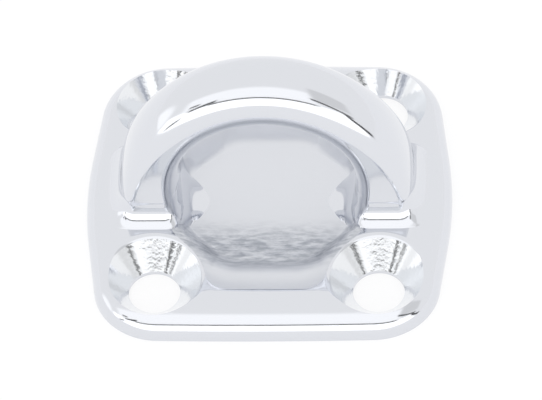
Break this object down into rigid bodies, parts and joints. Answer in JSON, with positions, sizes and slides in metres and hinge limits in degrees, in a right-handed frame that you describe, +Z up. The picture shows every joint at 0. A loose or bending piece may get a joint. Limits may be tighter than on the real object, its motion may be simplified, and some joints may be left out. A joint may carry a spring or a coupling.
{
  "type": "square pad eye",
  "caption": "Square pad eye: a round-barred eye cast in one piece with a rounded base plate, with countersunk screw holes in its corners and a shallow scoop under the eye.",
  "frame": {"origin": "middle of the flat underside, in the mounting plane", "axes": "+X along the plane of the eye, +Y through the eye's opening, +Z up from the deck"},
  "size_m": [0.0494, 0.0456, 0.0294],
  "materials": {
    "polished_stainless": "polished"
  },
  "bodies": {
    "root": {"pad_eye": "polished_stainless"}
  },
  "joints": []
}
